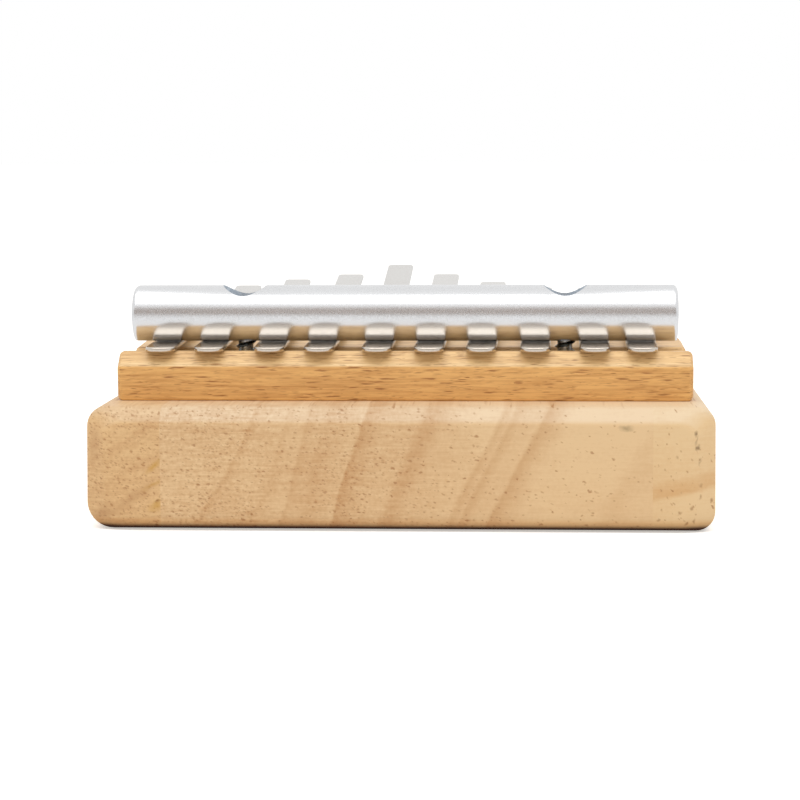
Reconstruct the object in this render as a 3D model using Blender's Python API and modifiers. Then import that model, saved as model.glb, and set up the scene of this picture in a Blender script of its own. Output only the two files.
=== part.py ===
"""Ten-key thumb piano: an edge-glued board, a grooved bridge, a clamping bar and ten spring tines.

Metres, +Z up. X runs across the tines and +Y from the bridge end to the playing end. The origin is the
middle of the board's underside.
"""
import math
from dataclasses import dataclass

import bmesh
import bpy

# Board, glued from three staves
BOARD_LENGTH = 0.150
BOARD_WIDTH = 0.1016
BOARD_THICKNESS = 0.020
BOARD_ROUND = 0.0034
LEFT_STAVE_WIDTH = 0.0124
RIGHT_STAVE_WIDTH = 0.0101
GLUE_GAP = 0.0001

# Bridge: rear rail, trough, ramp and front land in one block, glued a little right of the middle
BRIDGE_SETBACK = 0.0102
BRIDGE_LEFT_MARGIN = 0.0037
BRIDGE_RIGHT_MARGIN = 0.0030
BRIDGE_EASE = 0.0006
RAIL_HEIGHT = 0.00795
CHAMFER_RUN = 0.0026
CHAMFER_DROP = 0.0023
REAR_LAND = 0.0012
TROUGH_WIDTH = 0.0136
TROUGH_DEPTH = 0.0015
TROUGH_SLOPE = 0.0065
TROUGH_BATTER = 0.0006
RAMP_LENGTH = 0.0091
RAMP_START_DROP = 0.0006
FRONT_LAND_DROP = 0.0002
FRONT_LAND = 0.0069
SADDLE_SET = 0.0028

# Saddle rod, laid in a groove along the front land
SADDLE_DIAMETER = 0.0030
SADDLE_MARGIN = 0.0024
GROOVE_CLEARANCE = 0.0002

# Tines
TINE_WIDTH = 0.0050
TINE_THICKNESS = 0.0008
BACK_CORNER = 0.0022
TIP_CORNER = 0.0009
TINE_OVERHANG = 0.0004
LOWEST_PITCH = 261.63
STEEL_MODULUS = 200e9
STEEL_DENSITY = 7850.0
SPAN_MARGIN = 0.00845
CENTRE_GAP = 0.0037
OUTER_GAP = 0.0029
BACK_DIP = math.radians(0.8)
BEND_ANGLE = math.radians(6.2)
BEND_RADIUS = 0.045
SECOND_BEND_SET = 0.0040
SECOND_BEND_LENGTH = 0.0060
REST_GAP = 0.00024
SADDLE_GAP = 0.00047

# Pressure bar and its two screws
BAR_DIAMETER = 0.0100
BAR_FLAT = 0.00077
BAR_SET = 0.0078
BAR_MARGIN = 0.00345
BAR_EDGE = 0.0009
BAR_GAP = 0.00017
SCREW_DIAMETER = 0.0035
SCREW_SIDE_GAP = 0.00065
SCREW_HOLE_CLEARANCE = 0.0003
SCREW_POINT = 0.0030
SCREW_BITE = 0.0150
HEAD_DIAMETER = 0.0065
HEAD_HEIGHT = 0.0025
HEAD_EDGE = 0.0011
HEAD_RECESS = 0.0020
HEAD_CLEARANCE = 0.00045
SEAT_GAP = 0.0002

# Facets on round shapes
BAR_STEPS = 48
SCREW_STEPS = 20
ROD_STEPS = 16
ROUND_STEPS = 4
BEND_STEPS = 5


@dataclass(frozen=True)
class Tine:
    """One tine: its note, its pitch over the lowest note, and how it was set by hand under the bar."""

    note: str
    semitones: int
    shift: float
    fan: float
    rise: float

    def free_length(self):
        """Length from saddle to tip at which a strip of this thickness, clamped at one end, has the note."""
        pitch = LOWEST_PITCH * 2 ** (self.semitones / 12)
        wave = 1.8751 ** 2 / (2 * math.pi) * math.sqrt(STEEL_MODULUS / (12 * STEEL_DENSITY))
        return math.sqrt(wave * TINE_THICKNESS / pitch)


# From left to right, seen from the bridge end: shift in metres, fan and rise in degrees
TINES = (
    Tine("d5", 14, -0.0004, -1.5, 6.8),
    Tine("b4", 11, -0.0002, -1.4, 6.9),
    Tine("g4", 7, -0.0001, -2.0, 7.5),
    Tine("e4", 4, -0.0005, -0.3, 7.9),
    Tine("c4", 0, 0.0002, -0.3, 9.0),
    Tine("d4", 2, 0.0002, 0.2, 7.2),
    Tine("f4", 5, 0.0, 0.8, 5.9),
    Tine("a4", 9, 0.0, 1.0, 5.4),
    Tine("c5", 12, 0.0, 1.1, 6.2),
    Tine("e5", 16, -0.0001, 1.2, 7.0),
)

# Places across the board: five tines on each side of the middle, with a screw inside the fourth
SCREW_GAP = SCREW_DIAMETER + 2 * SCREW_SIDE_GAP
HALF_SPAN = BOARD_WIDTH / 2 - SPAN_MARGIN
INNER_GAP = (HALF_SPAN - CENTRE_GAP / 2 - SCREW_GAP - OUTER_GAP - 5 * TINE_WIDTH) / 2
TINE_STEPS = (
    (CENTRE_GAP + TINE_WIDTH) / 2,
    INNER_GAP + TINE_WIDTH,
    INNER_GAP + TINE_WIDTH,
    SCREW_GAP + TINE_WIDTH,
    OUTER_GAP + TINE_WIDTH,
)
TINE_PLACES = tuple(sum(TINE_STEPS[: count + 1]) for count in range(len(TINE_STEPS)))
SCREW_X = (TINE_PLACES[2] + TINE_PLACES[3]) / 2
BRIDGE_LEFT = BRIDGE_LEFT_MARGIN - BOARD_WIDTH / 2
BRIDGE_RIGHT = BOARD_WIDTH / 2 - BRIDGE_RIGHT_MARGIN
BAR_LENGTH = 2 * (HALF_SPAN + BAR_MARGIN)
SADDLE_LENGTH = 2 * (HALF_SPAN + SADDLE_MARGIN)

# Places along the board, from its bridge end
BRIDGE_Y = -BOARD_LENGTH / 2 + BRIDGE_SETBACK
TROUGH_Y = BRIDGE_Y + CHAMFER_RUN + REAR_LAND
BAR_Y = TROUGH_Y + BAR_SET
RAMP_Y = TROUGH_Y + TROUGH_WIDTH
LAND_Y = RAMP_Y + RAMP_LENGTH
SADDLE_Y = LAND_Y + SADDLE_SET
BRIDGE_DEPTH = LAND_Y + FRONT_LAND + CHAMFER_RUN - BRIDGE_Y

# Heights
RAIL_Z = BOARD_THICKNESS + RAIL_HEIGHT
TINE_Z = RAIL_Z + REST_GAP
BAR_BOTTOM_Z = TINE_Z + TINE_THICKNESS + BAR_GAP
BAR_Z = BAR_BOTTOM_Z + BAR_DIAMETER / 2 - BAR_FLAT
HEAD_TOP_Z = BAR_Z + BAR_DIAMETER / 2 - HEAD_RECESS
HEAD_SEAT_Z = HEAD_TOP_Z - HEAD_HEIGHT
SCREW_TIP_Z = BOARD_THICKNESS - SCREW_BITE


def clear_scene():
    """Remove every object of the file this runs in."""
    for item in list(bpy.data.objects):
        bpy.data.objects.remove(item, do_unlink=True)


def new_collection(name):
    """Make a collection under the scene."""
    group = bpy.data.collections.new(name)
    bpy.context.scene.collection.children.link(group)
    return group


def new_material(name, colour, roughness, metallic=0.0):
    """Make a plain Principled material."""
    material = bpy.data.materials.new(name)
    material.use_nodes = True
    shader = material.node_tree.nodes["Principled BSDF"]
    shader.inputs["Base Color"].default_value = (*colour, 1.0)
    shader.inputs["Roughness"].default_value = roughness
    shader.inputs["Metallic"].default_value = metallic
    return material


def new_part(name, mesh, material, location=(0.0, 0.0, 0.0)):
    """Add one named piece of the instrument."""
    part = bpy.data.objects.new(name, mesh)
    part.location = location
    mesh.materials.append(material)
    PARTS.objects.link(part)
    return part


def new_cutter(name, mesh, location):
    """Add a hidden shape that cuts or trims a piece."""
    cutter = bpy.data.objects.new(name, mesh)
    cutter.location = location
    cutter.hide_render = True
    cutter.display_type = "WIRE"
    CUTTERS.objects.link(cutter)
    return cutter


def box_mesh(name, size):
    """Mesh of a box about its own middle."""
    shape = bmesh.new()
    bmesh.ops.create_cube(shape, size=1.0)
    bmesh.ops.scale(shape, vec=size, verts=shape.verts)
    return finish_mesh(name, shape)


def cylinder_mesh(name, diameter, depth, steps):
    """Mesh of an upright cylinder about its own middle."""
    shape = bmesh.new()
    bmesh.ops.create_cone(
        shape, cap_ends=True, segments=steps, radius1=diameter / 2, radius2=diameter / 2, depth=depth
    )
    return finish_mesh(name, shape)


def finish_mesh(name, shape):
    """Turn a bmesh into a mesh."""
    mesh = bpy.data.meshes.new(name)
    shape.to_mesh(mesh)
    shape.free()
    return mesh


def shade_round(mesh):
    """Shade a round piece smooth, with its true edges kept sharp."""
    mesh.shade_smooth()
    mesh.set_sharp_from_angle(angle=math.radians(35))


def cut(part, cutter, operation="DIFFERENCE"):
    """Cut a piece with another shape."""
    boolean = part.modifiers.new(cutter.name, "BOOLEAN")
    boolean.operation = operation
    boolean.object = cutter


def turned_mesh(name, profile):
    """Mesh of a turned piece's profile, given from top to bottom as radius and height."""
    mesh = bpy.data.meshes.new(name)
    points = [(radius, 0.0, height) for radius, height in profile]
    mesh.from_pydata(points, [(k, k + 1) for k in range(len(points) - 1)], [])
    return mesh


def turn(part, steps):
    """Spin a profile into a closed turned solid."""
    screw = part.modifiers.new("turn", "SCREW")
    screw.steps = steps
    screw.render_steps = steps
    screw.use_merge_vertices = True
    screw.merge_threshold = 0.00001
    screw.use_smooth_shade = True


def arc_points(centre, radius, start, end):
    """Points of an arc, as radius and height, between two angles in degrees."""
    angles = [math.radians(start + (end - start) * k / ROUND_STEPS) for k in range(ROUND_STEPS + 1)]
    return [(centre[0] + radius * math.cos(a), centre[1] + radius * math.sin(a)) for a in angles]


def make_board(wood):
    """Three staves of one rounded board, with two pilot holes in the middle stave."""
    left = -BOARD_WIDTH / 2 + LEFT_STAVE_WIDTH
    right = BOARD_WIDTH / 2 - RIGHT_STAVE_WIDTH
    spans = {
        "body_stave_left": (-BOARD_WIDTH, left - GLUE_GAP / 2),
        "body_core": (left + GLUE_GAP / 2, right - GLUE_GAP / 2),
        "body_stave_right": (right + GLUE_GAP / 2, BOARD_WIDTH),
    }
    for name, (start, end) in spans.items():
        mesh = box_mesh(name, (BOARD_WIDTH, BOARD_LENGTH, BOARD_THICKNESS))
        stave = new_part(name, mesh, wood, (0.0, 0.0, BOARD_THICKNESS / 2))
        rounding = stave.modifiers.new("rounding", "BEVEL")
        rounding.width = BOARD_ROUND
        rounding.segments = ROUND_STEPS
        slab = box_mesh(name + "_slab", (end - start, 2 * BOARD_LENGTH, 2 * BOARD_THICKNESS))
        middle = ((start + end) / 2, 0.0, BOARD_THICKNESS / 2)
        cut(stave, new_cutter(name + "_slab", slab, middle), "INTERSECT")
        if name == "body_core":
            drill_screw_holes(stave, "pilot", SCREW_TIP_Z - SCREW_HOLE_CLEARANCE, 2 * BOARD_THICKNESS)


def drill_screw_holes(part, name, bottom, top):
    """Cut a clearance hole for each clamp screw between two heights."""
    diameter = SCREW_DIAMETER + 2 * SCREW_HOLE_CLEARANCE
    for side in (-1, 1):
        label = f"{name}_hole_{'left' if side < 0 else 'right'}"
        hole = cylinder_mesh(label, diameter, top - bottom, SCREW_STEPS)
        cut(part, new_cutter(label, hole, (side * SCREW_X, BAR_Y, (bottom + top) / 2)))


def make_bridge(wood):
    """Bridge block: its side profile drawn out along X, eased at the ends, then grooved and drilled."""
    trough_start = TROUGH_Y - BRIDGE_Y
    trough_end = RAMP_Y - BRIDGE_Y
    land_start = LAND_Y - BRIDGE_Y
    land = RAIL_HEIGHT - FRONT_LAND_DROP
    floor = RAIL_HEIGHT - TROUGH_DEPTH
    profile = (
        (0.0, GLUE_GAP),
        (BRIDGE_DEPTH, GLUE_GAP),
        (BRIDGE_DEPTH, land - CHAMFER_DROP),
        (BRIDGE_DEPTH - CHAMFER_RUN, land),
        (land_start, land),
        (trough_end, RAIL_HEIGHT - RAMP_START_DROP),
        (trough_end - TROUGH_BATTER, floor),
        (trough_start + TROUGH_SLOPE, floor),
        (trough_start, RAIL_HEIGHT),
        (CHAMFER_RUN, RAIL_HEIGHT),
        (0.0, RAIL_HEIGHT - CHAMFER_DROP),
    )
    shape = bmesh.new()
    outline = [shape.verts.new((BRIDGE_LEFT, y, z)) for y, z in profile]
    end_face = shape.faces.new(outline)
    drawn = bmesh.ops.extrude_face_region(shape, geom=[end_face])
    moved = [item for item in drawn["geom"] if isinstance(item, bmesh.types.BMVert)]
    bmesh.ops.translate(shape, vec=(BRIDGE_RIGHT - BRIDGE_LEFT, 0.0, 0.0), verts=moved)
    bmesh.ops.recalc_face_normals(shape, faces=shape.faces)
    rims = [edge for edge in shape.edges if abs(edge.verts[0].co.x - edge.verts[1].co.x) < BRIDGE_EASE]
    base_height = GLUE_GAP + BRIDGE_EASE / 2
    eased = [edge for edge in rims if max(vert.co.z for vert in edge.verts) > base_height]
    bmesh.ops.bevel(
        shape, geom=eased, offset=BRIDGE_EASE, segments=2, profile=0.5, affect="EDGES", material=-1
    )
    mesh = finish_mesh("bridge", shape)
    bridge = new_part("bridge", mesh, wood, (0.0, BRIDGE_Y, BOARD_THICKNESS))
    groove_size = SADDLE_DIAMETER + 2 * GROOVE_CLEARANCE
    groove = cylinder_mesh("saddle_groove", groove_size, 2 * BOARD_WIDTH, ROD_STEPS)
    groove_cutter = new_cutter("saddle_groove", groove, (0.0, SADDLE_Y, saddle_height()))
    groove_cutter.rotation_euler.y = math.pi / 2
    cut(bridge, groove_cutter)
    drill_screw_holes(bridge, "bridge", BOARD_THICKNESS / 2, 2 * RAIL_Z)


def saddle_height():
    """Height of the saddle rod's axis, just under the first bend's straight stretch."""
    past_bend = SADDLE_Y - BAR_Y - BEND_RADIUS * (math.sin(BEND_ANGLE) - math.sin(BACK_DIP))
    bend_rise = BEND_RADIUS * (math.cos(BACK_DIP) - math.cos(BEND_ANGLE))
    underside = TINE_Z + bend_rise + past_bend * math.tan(BEND_ANGLE)
    return underside - (SADDLE_DIAMETER / 2 + SADDLE_GAP) / math.cos(BEND_ANGLE)


def make_saddle_rod(steel):
    """Bearing rod along the front land."""
    mesh = cylinder_mesh("saddle_rod", SADDLE_DIAMETER, SADDLE_LENGTH, ROD_STEPS)
    shade_round(mesh)
    rod = new_part("saddle_rod", mesh, steel, (0.0, SADDLE_Y, saddle_height()))
    rod.rotation_euler.y = math.pi / 2


def make_pressure_bar(aluminium):
    """Round bar with rounded ends, a flat along its underside and a counterbored hole for each screw."""
    radius = BAR_DIAMETER / 2
    half = BAR_LENGTH / 2
    top = arc_points((radius - BAR_EDGE, half - BAR_EDGE), BAR_EDGE, 90, 0)
    bottom = arc_points((radius - BAR_EDGE, BAR_EDGE - half), BAR_EDGE, 0, -90)
    profile = [(0.0, half), *top, *bottom, (0.0, -half)]
    bar = new_part("pressure_bar", turned_mesh("pressure_bar", profile), aluminium, (0.0, BAR_Y, BAR_Z))
    bar.rotation_euler.y = math.pi / 2
    turn(bar, BAR_STEPS)
    waste = box_mesh("bar_flat", (2 * BAR_LENGTH, 2 * BAR_DIAMETER, BAR_DIAMETER))
    cut(bar, new_cutter("bar_flat", waste, (0.0, BAR_Y, BAR_BOTTOM_Z - BAR_DIAMETER / 2)))
    drill_screw_holes(bar, "bar", TINE_Z, HEAD_TOP_Z)
    bore_bottom = HEAD_SEAT_Z - SEAT_GAP
    bore_depth = BAR_DIAMETER
    for side in (-1, 1):
        label = f"counterbore_{'left' if side < 0 else 'right'}"
        bore = cylinder_mesh(label, HEAD_DIAMETER + 2 * HEAD_CLEARANCE, bore_depth, BAR_STEPS // 2)
        cut(bar, new_cutter(label, bore, (side * SCREW_X, BAR_Y, bore_bottom + bore_depth / 2)))


def make_screws(zinc):
    """Two pan-head screws through the bar and the bridge into the board."""
    head = HEAD_DIAMETER / 2
    dome = HEAD_HEIGHT - HEAD_EDGE
    dome_arc = [
        (head * math.sin(angle), HEAD_TOP_Z - dome * (1 - math.cos(angle)))
        for angle in (math.pi / 2 * k / ROUND_STEPS for k in range(ROUND_STEPS + 1))
    ]
    shank = SCREW_DIAMETER / 2
    profile = [
        *dome_arc,
        (head, HEAD_SEAT_Z),
        (shank, HEAD_SEAT_Z),
        (shank, SCREW_TIP_Z + SCREW_POINT),
        (0.0, SCREW_TIP_Z),
    ]
    for side in (-1, 1):
        name = "clamp_screw_left" if side < 0 else "clamp_screw_right"
        screw = new_part(name, turned_mesh(name, profile), zinc, (side * SCREW_X, BAR_Y, 0.0))
        turn(screw, SCREW_STEPS)


def tine_rows(tine):
    """Rows along a tine's underside as place, height and half width, from its back end to its tip."""
    y, heading = BRIDGE_Y - TINE_OVERHANG, BACK_DIP
    z = TINE_Z - (BAR_Y - y) * math.tan(heading)
    path = [(y, z)]

    def walk(length):
        nonlocal y, z
        y += length * math.cos(heading)
        z += length * math.sin(heading)
        path.append((y, z))

    def bend(angle, length):
        nonlocal heading
        step = angle / BEND_STEPS
        for _ in range(BEND_STEPS):
            heading += step / 2
            walk(length / BEND_STEPS)
            heading += step / 2

    corner = [math.pi / 2 * k / ROUND_STEPS for k in range(ROUND_STEPS + 1)]
    insets = [1 - math.sin(angle) for angle in corner]
    runs = [math.cos(corner[k]) - math.cos(corner[k + 1]) for k in range(ROUND_STEPS)]
    for run in runs:
        walk(BACK_CORNER * run)
    walk((BAR_Y - y) / math.cos(heading))
    bend(BEND_ANGLE - BACK_DIP, (BEND_ANGLE - BACK_DIP) * BEND_RADIUS)
    walk((SADDLE_Y + SECOND_BEND_SET - y) / math.cos(heading))
    rise = math.radians(tine.rise)
    bend(rise - BEND_ANGLE, SECOND_BEND_LENGTH)
    walk((SADDLE_Y + tine.free_length() - y) / math.cos(heading) - TIP_CORNER)
    for run in reversed(runs):
        walk(TIP_CORNER * run)
    half_widths = [TINE_WIDTH / 2] * len(path)
    for k, inset in enumerate(insets):
        half_widths[k] -= BACK_CORNER * inset
        half_widths[-1 - k] -= TIP_CORNER * inset
    return [(y, z, half) for (y, z), half in zip(path, half_widths)]


def make_tine(tine, place, steel):
    """One bent strip with rounded corners, standing on its hinge line under the bar."""
    pivot = (place + tine.shift, BAR_Y, TINE_Z + TINE_THICKNESS / 2)
    rows = tine_rows(tine)
    shape = bmesh.new()
    bmesh.ops.create_grid(shape, x_segments=1, y_segments=len(rows) - 1, size=0.5)
    for vert in shape.verts:
        y, z, half = rows[round((vert.co.y + 0.5) * (len(rows) - 1))]
        vert.co = (math.copysign(half, vert.co.x), y - pivot[1], z - pivot[2])
    name = "tine_" + tine.note
    strip = new_part(name, finish_mesh(name, shape), steel, pivot)
    strip.rotation_euler.z = -math.radians(tine.fan)
    wall = strip.modifiers.new("thickness", "SOLIDIFY")
    wall.thickness = TINE_THICKNESS
    wall.offset = 1.0
    wall.use_even_offset = True


def make_tines(steel):
    """All ten tines, from left to right."""
    places = [-place for place in reversed(TINE_PLACES)] + list(TINE_PLACES)
    for tine, place in zip(TINES, places):
        make_tine(tine, place, steel)


clear_scene()
PARTS = new_collection("kalimba")
CUTTERS = new_collection("kalimba_cutters")
make_board(new_material("rubberwood", (0.69, 0.43, 0.22), 0.55))
make_bridge(new_material("beech", (0.62, 0.31, 0.11), 0.5))
make_saddle_rod(new_material("steel_rod", (0.62, 0.62, 0.61), 0.25, 1.0))
make_pressure_bar(new_material("blasted_aluminium", (0.84, 0.84, 0.85), 0.35, 1.0))
make_screws(new_material("zinc_plate", (0.55, 0.58, 0.62), 0.3, 1.0))
make_tines(new_material("spring_steel", (0.55, 0.54, 0.53), 0.35, 1.0))
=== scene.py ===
"""Looks of a ten-key kalimba: wood, bar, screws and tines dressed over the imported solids."""
import logging
import math
from dataclasses import dataclass
from enum import Enum
from functools import cached_property
from typing import Any, Iterable, Sequence

import bmesh
import bpy
from mathutils import Matrix, Vector


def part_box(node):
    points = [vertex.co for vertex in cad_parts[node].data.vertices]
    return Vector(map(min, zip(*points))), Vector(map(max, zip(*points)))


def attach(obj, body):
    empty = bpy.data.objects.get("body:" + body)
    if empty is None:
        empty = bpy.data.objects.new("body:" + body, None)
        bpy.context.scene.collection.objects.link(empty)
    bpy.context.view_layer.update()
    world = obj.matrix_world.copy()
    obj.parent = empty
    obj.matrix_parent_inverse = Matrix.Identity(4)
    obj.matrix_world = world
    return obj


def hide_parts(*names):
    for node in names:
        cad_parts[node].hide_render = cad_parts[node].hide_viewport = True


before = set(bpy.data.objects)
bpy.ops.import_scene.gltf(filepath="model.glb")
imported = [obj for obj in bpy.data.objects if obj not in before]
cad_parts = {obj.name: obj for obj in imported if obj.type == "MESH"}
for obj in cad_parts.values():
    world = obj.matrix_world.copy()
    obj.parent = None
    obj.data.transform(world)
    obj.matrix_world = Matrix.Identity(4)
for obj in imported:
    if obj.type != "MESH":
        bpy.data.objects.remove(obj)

LOG = logging.getLogger("kalimba")
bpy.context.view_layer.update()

MM = 0.001
MERGE_DISTANCE = 0.002 * MM
FLAT_ANGLE = math.radians(0.4)
ALONG_X = Matrix.Rotation(math.pi / 2, 4, "Y")
NEAR_END = -75 * MM  # the board's end at the bridge
MARK_DEPTH = 19 * MM  # how far a mark runs in from there
MARK_HEART = 0.15  # share of a mark that has its full colour
FACING_UP = (0.25, 0.65)  # upward share of the normal where the paler long grain and the painted sheen start and are full
SMALL_VESSELS = 0.7  # strength of the small vessels beside the large ones

Socket = bpy.types.NodeSocket
Colour = tuple[float, float, float]
Triple = tuple[float, float, float]
Pair = tuple[float, float]
Stops = tuple[Pair, ...]

RESIN: Colour = (0.58, 0.31, 0.055)
BROWN_BAND: Colour = (0.50, 0.26, 0.105)
DARK_PIT: Colour = (0.30, 0.125, 0.030)
SCUFF: Colour = (0.20, 0.115, 0.045)
DARK_KNOT: Colour = (0.30, 0.205, 0.095)


class Side(Enum):
    """The two sides of the instrument, seen from the bridge end."""

    LEFT = -1
    RIGHT = 1

    @property
    def label(self) -> str:
        """Name of the side as the node names have it."""
        return self.name.lower()

    def screw(self) -> tuple[Vector, float]:
        """Middle of the side's packed clamp screw and the height of its top."""
        low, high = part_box(f"clamp_screw_{self.label}")
        return (low + high) / 2, high.z


def added_object(name: str, data: bpy.types.ID) -> bpy.types.Object:
    """Put new data in the scene.

    Args:
        name: The object's name.
        data: Its mesh, lamp or camera.

    Returns:
        The object.
    """
    made = bpy.data.objects.new(name, data)
    bpy.context.scene.collection.objects.link(made)
    return made


def only(kind: type, items: Iterable[Any]) -> list[Any]:
    """The items of one kind among those that an operator gives back."""
    return [item for item in items if isinstance(item, kind)]


class Graph:
    """Writes nodes into one node tree."""

    def __init__(self, tree: bpy.types.NodeTree) -> None:
        """Keep the tree that nodes go into."""
        self.tree = tree

    def link(self, value: Any, node: bpy.types.Node, name: Any) -> None:
        """Give a node's input a socket or a constant.

        Args:
            value: The socket or the constant.
            node: The node.
            name: Name or number of the input.
        """
        if isinstance(value, Socket):
            self.tree.links.new(value, node.inputs[name])
        else:
            node.inputs[name].default_value = value

    def node(self, kind: str, inputs: dict[Any, Any] | None = None, **settings: Any) -> bpy.types.Node:
        """Add a node.

        Args:
            kind: The node's type name.
            inputs: Values or sockets by the name or number of the input they go to.
            **settings: Attributes set on the node.

        Returns:
            The new node.
        """
        made = self.tree.nodes.new(kind)
        for name, value in settings.items():
            setattr(made, name, value)
        for name, value in (inputs or {}).items():
            self.link(value, made, name)
        return made

    def math(self, operation: str, first: Any, second: Any = 0.0, third: Any = 0.0) -> Socket:
        """Add a Math node and give its result."""
        return self.node("ShaderNodeMath", {0: first, 1: second, 2: third}, operation=operation).outputs[0]

    def times(self, first: Any, second: Any) -> Socket:
        """One value times another."""
        return self.math("MULTIPLY", first, second)

    def minus(self, first: Any, second: Any) -> Socket:
        """One value less another."""
        return self.math("SUBTRACT", first, second)

    def added(self, value: Any, share: Any, base: Any) -> Socket:
        """A share of a value on top of a base."""
        return self.math("MULTIPLY_ADD", value, share, base)

    def vector(self, operation: str, *values: Any) -> Any:
        """Add a Vector Math node and give its outputs."""
        return self.node("ShaderNodeVectorMath", dict(enumerate(values)), operation=operation).outputs

    def axis(self, vector: Socket, number: int) -> Socket:
        """One part of a vector: 0 for X, 1 for Y and 2 for Z."""
        return self.node("ShaderNodeSeparateXYZ", {0: vector}).outputs[number]

    def fade(self, value: Socket, start: float, full: float, least: float = 0.0, most: float = 1.0) -> Socket:
        """Go from least to most as a value goes from start to full."""
        inputs = {0: value, 1: start, 2: full, 3: least, 4: most}
        return self.node("ShaderNodeMapRange", inputs).outputs[0]

    def mix(self, share: Any, first: Any, second: Any, blend: str = "MIX") -> Socket:
        """Mix two colours.

        Args:
            share: How much of the second colour there is.
            first: The colour below, as a socket or three numbers.
            second: The colour above, as a socket or three numbers.
            blend: Blender's blend type.

        Returns:
            The mixed colour.
        """
        below, above = (item if isinstance(item, Socket) else (*item, 1.0) for item in (first, second))
        inputs = {0: share, 6: below, 7: above}
        return self.node("ShaderNodeMix", inputs, data_type="RGBA", blend_type=blend).outputs[2]

    def ramp(self, value: Socket, stops: Stops, interpolation: str = "LINEAR") -> Socket:
        """Turn a value into another along listed stops.

        Args:
            value: The value that runs along the ramp, from 0 to 1.
            stops: Place and brightness of each stop.
            interpolation: Blender's ramp interpolation.

        Returns:
            The ramp's brightness.
        """
        made = self.node("ShaderNodeValToRGB", {"Fac": value})
        bar = made.color_ramp
        bar.interpolation = interpolation
        for place, bright in stops[1:-1]:
            bar.elements.new(place).color = (bright, bright, bright, 1.0)
        for end in (0, -1):
            place, bright = stops[end]
            bar.elements[end].position = place
            bar.elements[end].color = (bright, bright, bright, 1.0)
        return made.outputs["Color"]

    def stretch(self, vector: Socket, scale: Sequence[float], turn: Sequence[float] = (0, 0, 0)) -> Socket:
        """Turn and scale coordinates.

        Args:
            vector: The coordinates.
            scale: Factor along each turned axis.
            turn: Turn about each axis, in degrees.

        Returns:
            The new coordinates.
        """
        angles = [math.radians(angle) for angle in turn]
        turned = self.node("ShaderNodeMapping", {"Vector": vector, "Rotation": angles})
        return self.node("ShaderNodeMapping", {"Vector": turned.outputs[0], "Scale": scale}).outputs[0]

    def noise(self, vector: Socket, scale: Any = 1.0, detail: float = 2.0, rough: float = 0.5) -> Socket:
        """Add a noise texture and give its value, from 0 to 1."""
        inputs = {"Vector": vector, "Scale": scale, "Detail": detail, "Roughness": rough}
        return self.node("ShaderNodeTexNoise", inputs).outputs["Fac"]

    def bent(self, vector: Socket, scale: float, detail: float, reach: float) -> Socket:
        """Add noise of a scale and detail to coordinates, up to a reach along each axis."""
        noise = self.node("ShaderNodeTexNoise", {"Vector": vector, "Scale": scale, "Detail": detail})
        return self.vector("MULTIPLY_ADD", noise.outputs["Color"], (reach,) * 3, vector)[0]


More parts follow.
